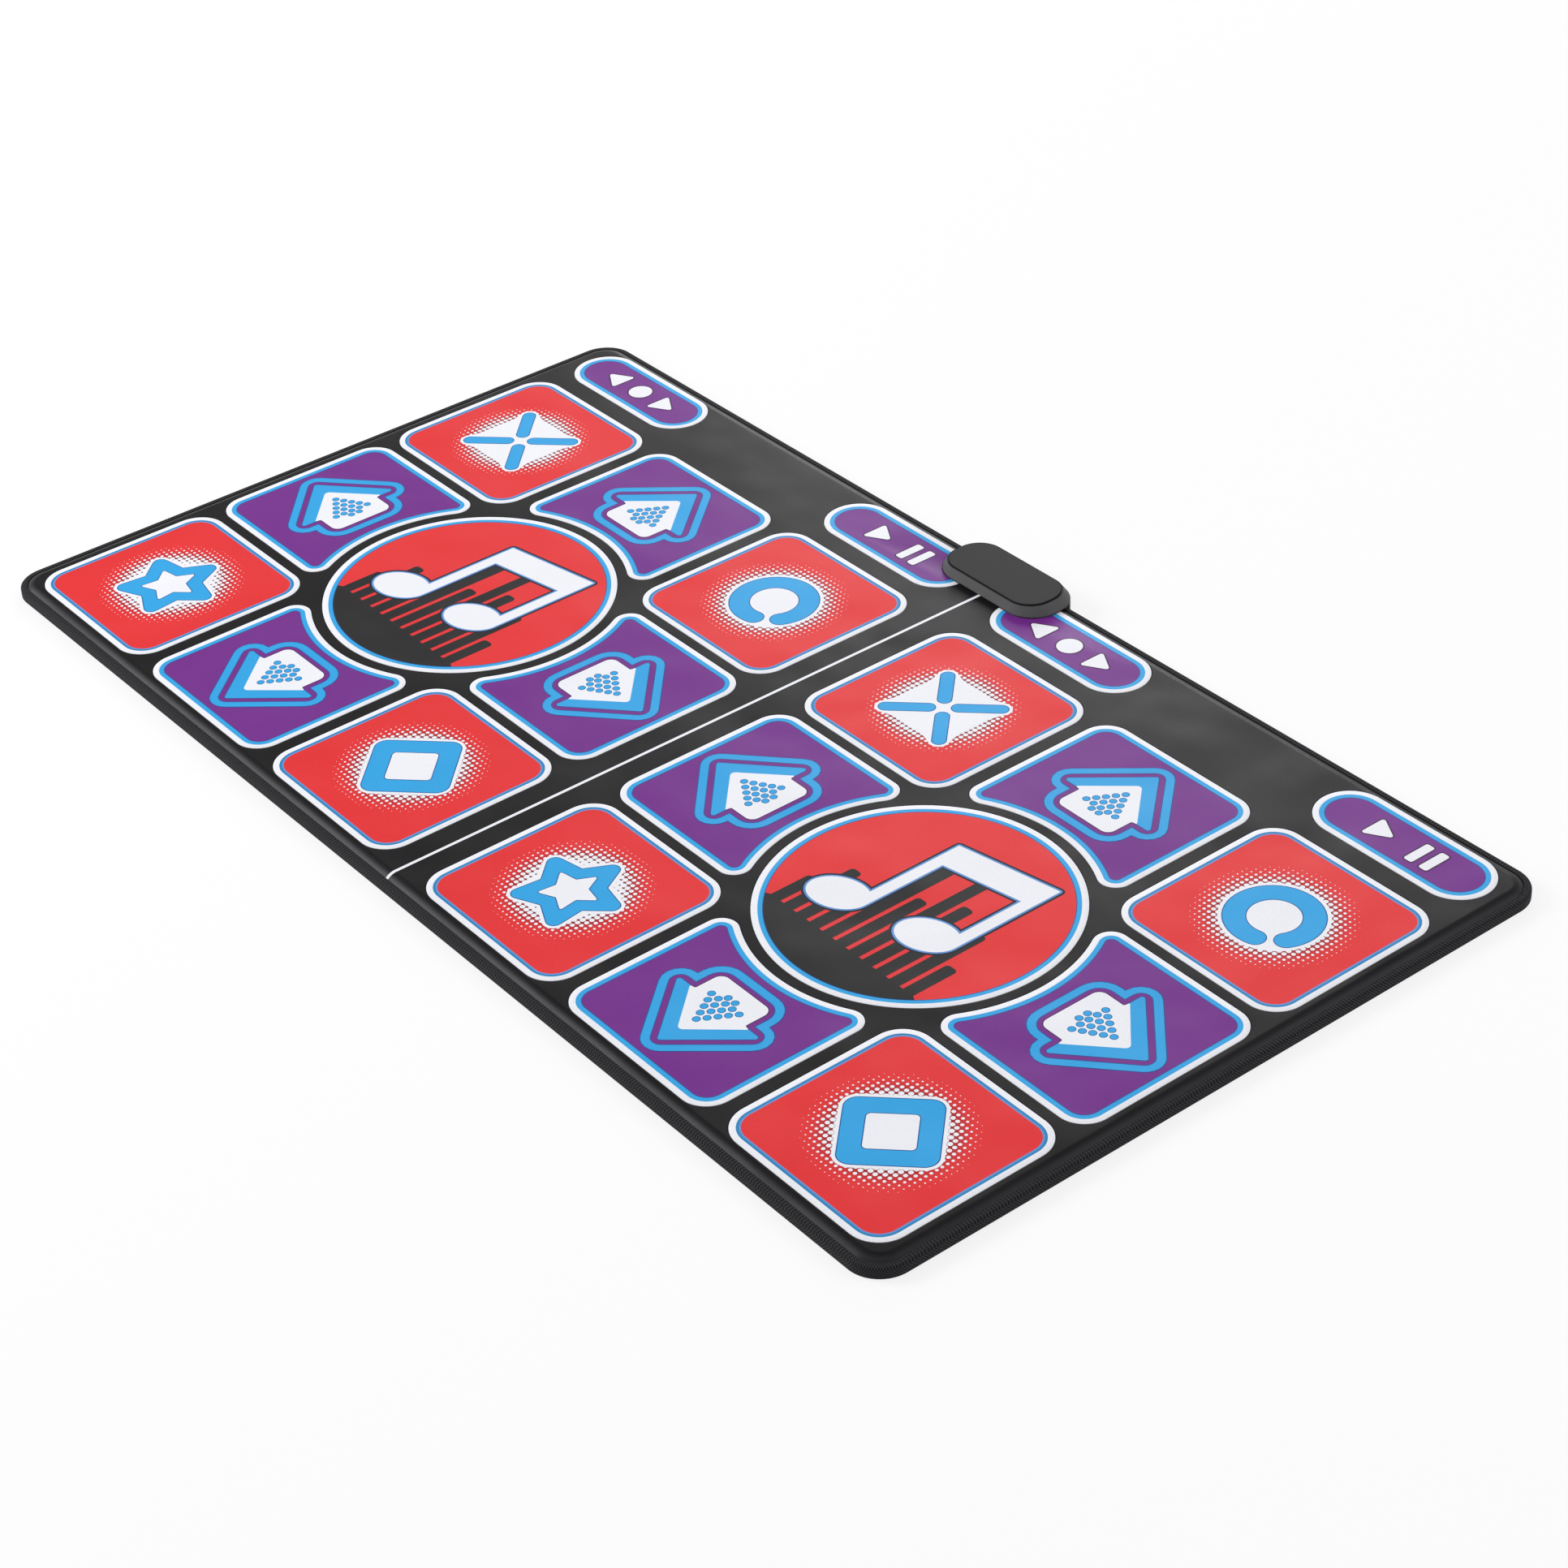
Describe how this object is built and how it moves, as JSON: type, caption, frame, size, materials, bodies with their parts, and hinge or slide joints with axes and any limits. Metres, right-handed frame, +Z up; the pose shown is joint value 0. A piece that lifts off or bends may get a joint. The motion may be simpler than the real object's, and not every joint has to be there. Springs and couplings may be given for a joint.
{
  "type": "dance mat controller",
  "caption": "Soft floor mat for two players with foot-pressed arrow and symbol panels round a disc on each half, and an electronics pod clamped over the rear edge.",
  "frame": {"origin": "centre of the mat's underside, on the floor", "axes": "+Z up, +Y towards the rear edge with the electronics pod, +X towards the second player's side"},
  "size_m": [1.65, 0.9359, 0.032],
  "materials": {
    "vinyl": "satin black PVC with a fine grain",
    "tape": "woven black binding",
    "backing": "matt dotted anti-slip sheet",
    "foam": "closed-cell foam",
    "film": "clear film with printed tracks",
    "contact": "film patch with a conductive print",
    "red_print": "satin PVC with a red print",
    "purple_print": "satin PVC with a purple print",
    "pod": "satin dark grey moulding",
    "board": "green solder mask",
    "chip": "black epoxy",
    "rubber": "matt black rubber",
    "steel": "plain steel"
  },
  "bodies": {
    "mat": {"bottom_cover": "backing", "edge_binding": "tape", "foam_core": "foam", "lower_film_left": "film", "lower_film_right": "film", "spacer_foam": "foam", "top_cover": "vinyl", "disc_left": "red_print", "disc_right": "red_print", "pod_upper_shell": "pod", "pod_lower_shell": "pod", "circuit_board": "board", "controller_chip": "chip", "tail_connector_left": "chip", "tail_connector_right": "chip", "cord_gland": "rubber", "pod_screw_1": "steel", "pod_screw_2": "steel", "pod_screw_3": "steel", "pod_screw_4": "steel"},
    "p1_cross": {"p1_panel_cross": "red_print", "p1_contact_cross": "contact"},
    "p1_ring": {"p1_panel_ring": "red_print", "p1_contact_ring": "contact"},
    "p1_star": {"p1_panel_star": "red_print", "p1_contact_star": "contact"},
    "p1_diamond": {"p1_panel_diamond": "red_print", "p1_contact_diamond": "contact"},
    "p1_up": {"p1_panel_up": "purple_print", "p1_contact_up": "contact"},
    "p1_down": {"p1_panel_down": "purple_print", "p1_contact_down": "contact"},
    "p1_left": {"p1_panel_left": "purple_print", "p1_contact_left": "contact"},
    "p1_right": {"p1_panel_right": "purple_print", "p1_contact_right": "contact"},
    "p1_select": {"p1_panel_select": "purple_print", "p1_contact_select": "contact"},
    "p1_start": {"p1_panel_start": "purple_print", "p1_contact_start": "contact"},
    "p2_cross": {"p2_panel_cross": "red_print", "p2_contact_cross": "contact"},
    "p2_ring": {"p2_panel_ring": "red_print", "p2_contact_ring": "contact"},
    "p2_star": {"p2_panel_star": "red_print", "p2_contact_star": "contact"},
    "p2_diamond": {"p2_panel_diamond": "red_print", "p2_contact_diamond": "contact"},
    "p2_up": {"p2_panel_up": "purple_print", "p2_contact_up": "contact"},
    "p2_down": {"p2_panel_down": "purple_print", "p2_contact_down": "contact"},
    "p2_left": {"p2_panel_left": "purple_print", "p2_contact_left": "contact"},
    "p2_right": {"p2_panel_right": "purple_print", "p2_contact_right": "contact"},
    "p2_select": {"p2_panel_select": "purple_print", "p2_contact_select": "contact"},
    "p2_start": {"p2_panel_start": "purple_print", "p2_contact_start": "contact"}
  },
  "joints": [
    {"name": "p1_cross_press", "type": "slide", "parent": "mat", "child": "p1_cross", "axis": [0, 0, -1], "range_m": [0, 0.0025], "stiffness_N_per_m": 6000, "springref_m": -0.0005},
    {"name": "p1_ring_press", "type": "slide", "parent": "mat", "child": "p1_ring", "axis": [0, 0, -1], "range_m": [0, 0.0025], "stiffness_N_per_m": 6000, "springref_m": -0.0005},
    {"name": "p1_star_press", "type": "slide", "parent": "mat", "child": "p1_star", "axis": [0, 0, -1], "range_m": [0, 0.0025], "stiffness_N_per_m": 6000, "springref_m": -0.0005},
    {"name": "p1_diamond_press", "type": "slide", "parent": "mat", "child": "p1_diamond", "axis": [0, 0, -1], "range_m": [0, 0.0025], "stiffness_N_per_m": 6000, "springref_m": -0.0005},
    {"name": "p1_up_press", "type": "slide", "parent": "mat", "child": "p1_up", "axis": [0, 0, -1], "range_m": [0, 0.0025], "stiffness_N_per_m": 6000, "springref_m": -0.0005},
    {"name": "p1_down_press", "type": "slide", "parent": "mat", "child": "p1_down", "axis": [0, 0, -1], "range_m": [0, 0.0025], "stiffness_N_per_m": 6000, "springref_m": -0.0005},
    {"name": "p1_left_press", "type": "slide", "parent": "mat", "child": "p1_left", "axis": [0, 0, -1], "range_m": [0, 0.0025], "stiffness_N_per_m": 6000, "springref_m": -0.0005},
    {"name": "p1_right_press", "type": "slide", "parent": "mat", "child": "p1_right", "axis": [0, 0, -1], "range_m": [0, 0.0025], "stiffness_N_per_m": 6000, "springref_m": -0.0005},
    {"name": "p1_select_press", "type": "slide", "parent": "mat", "child": "p1_select", "axis": [0, 0, -1], "range_m": [0, 0.0025], "stiffness_N_per_m": 6000, "springref_m": -0.0005},
    {"name": "p1_start_press", "type": "slide", "parent": "mat", "child": "p1_start", "axis": [0, 0, -1], "range_m": [0, 0.0025], "stiffness_N_per_m": 6000, "springref_m": -0.0005},
    {"name": "p2_cross_press", "type": "slide", "parent": "mat", "child": "p2_cross", "axis": [0, 0, -1], "range_m": [0, 0.0025], "stiffness_N_per_m": 6000, "springref_m": -0.0005},
    {"name": "p2_ring_press", "type": "slide", "parent": "mat", "child": "p2_ring", "axis": [0, 0, -1], "range_m": [0, 0.0025], "stiffness_N_per_m": 6000, "springref_m": -0.0005},
    {"name": "p2_star_press", "type": "slide", "parent": "mat", "child": "p2_star", "axis": [0, 0, -1], "range_m": [0, 0.0025], "stiffness_N_per_m": 6000, "springref_m": -0.0005},
    {"name": "p2_diamond_press", "type": "slide", "parent": "mat", "child": "p2_diamond", "axis": [0, 0, -1], "range_m": [0, 0.0025], "stiffness_N_per_m": 6000, "springref_m": -0.0005},
    {"name": "p2_up_press", "type": "slide", "parent": "mat", "child": "p2_up", "axis": [0, 0, -1], "range_m": [0, 0.0025], "stiffness_N_per_m": 6000, "springref_m": -0.0005},
    {"name": "p2_down_press", "type": "slide", "parent": "mat", "child": "p2_down", "axis": [0, 0, -1], "range_m": [0, 0.0025], "stiffness_N_per_m": 6000, "springref_m": -0.0005},
    {"name": "p2_left_press", "type": "slide", "parent": "mat", "child": "p2_left", "axis": [0, 0, -1], "range_m": [0, 0.0025], "stiffness_N_per_m": 6000, "springref_m": -0.0005},
    {"name": "p2_right_press", "type": "slide", "parent": "mat", "child": "p2_right", "axis": [0, 0, -1], "range_m": [0, 0.0025], "stiffness_N_per_m": 6000, "springref_m": -0.0005},
    {"name": "p2_select_press", "type": "slide", "parent": "mat", "child": "p2_select", "axis": [0, 0, -1], "range_m": [0, 0.0025], "stiffness_N_per_m": 6000, "springref_m": -0.0005},
    {"name": "p2_start_press", "type": "slide", "parent": "mat", "child": "p2_start", "axis": [0, 0, -1], "range_m": [0, 0.0025], "stiffness_N_per_m": 6000, "springref_m": -0.0005}
  ]
}
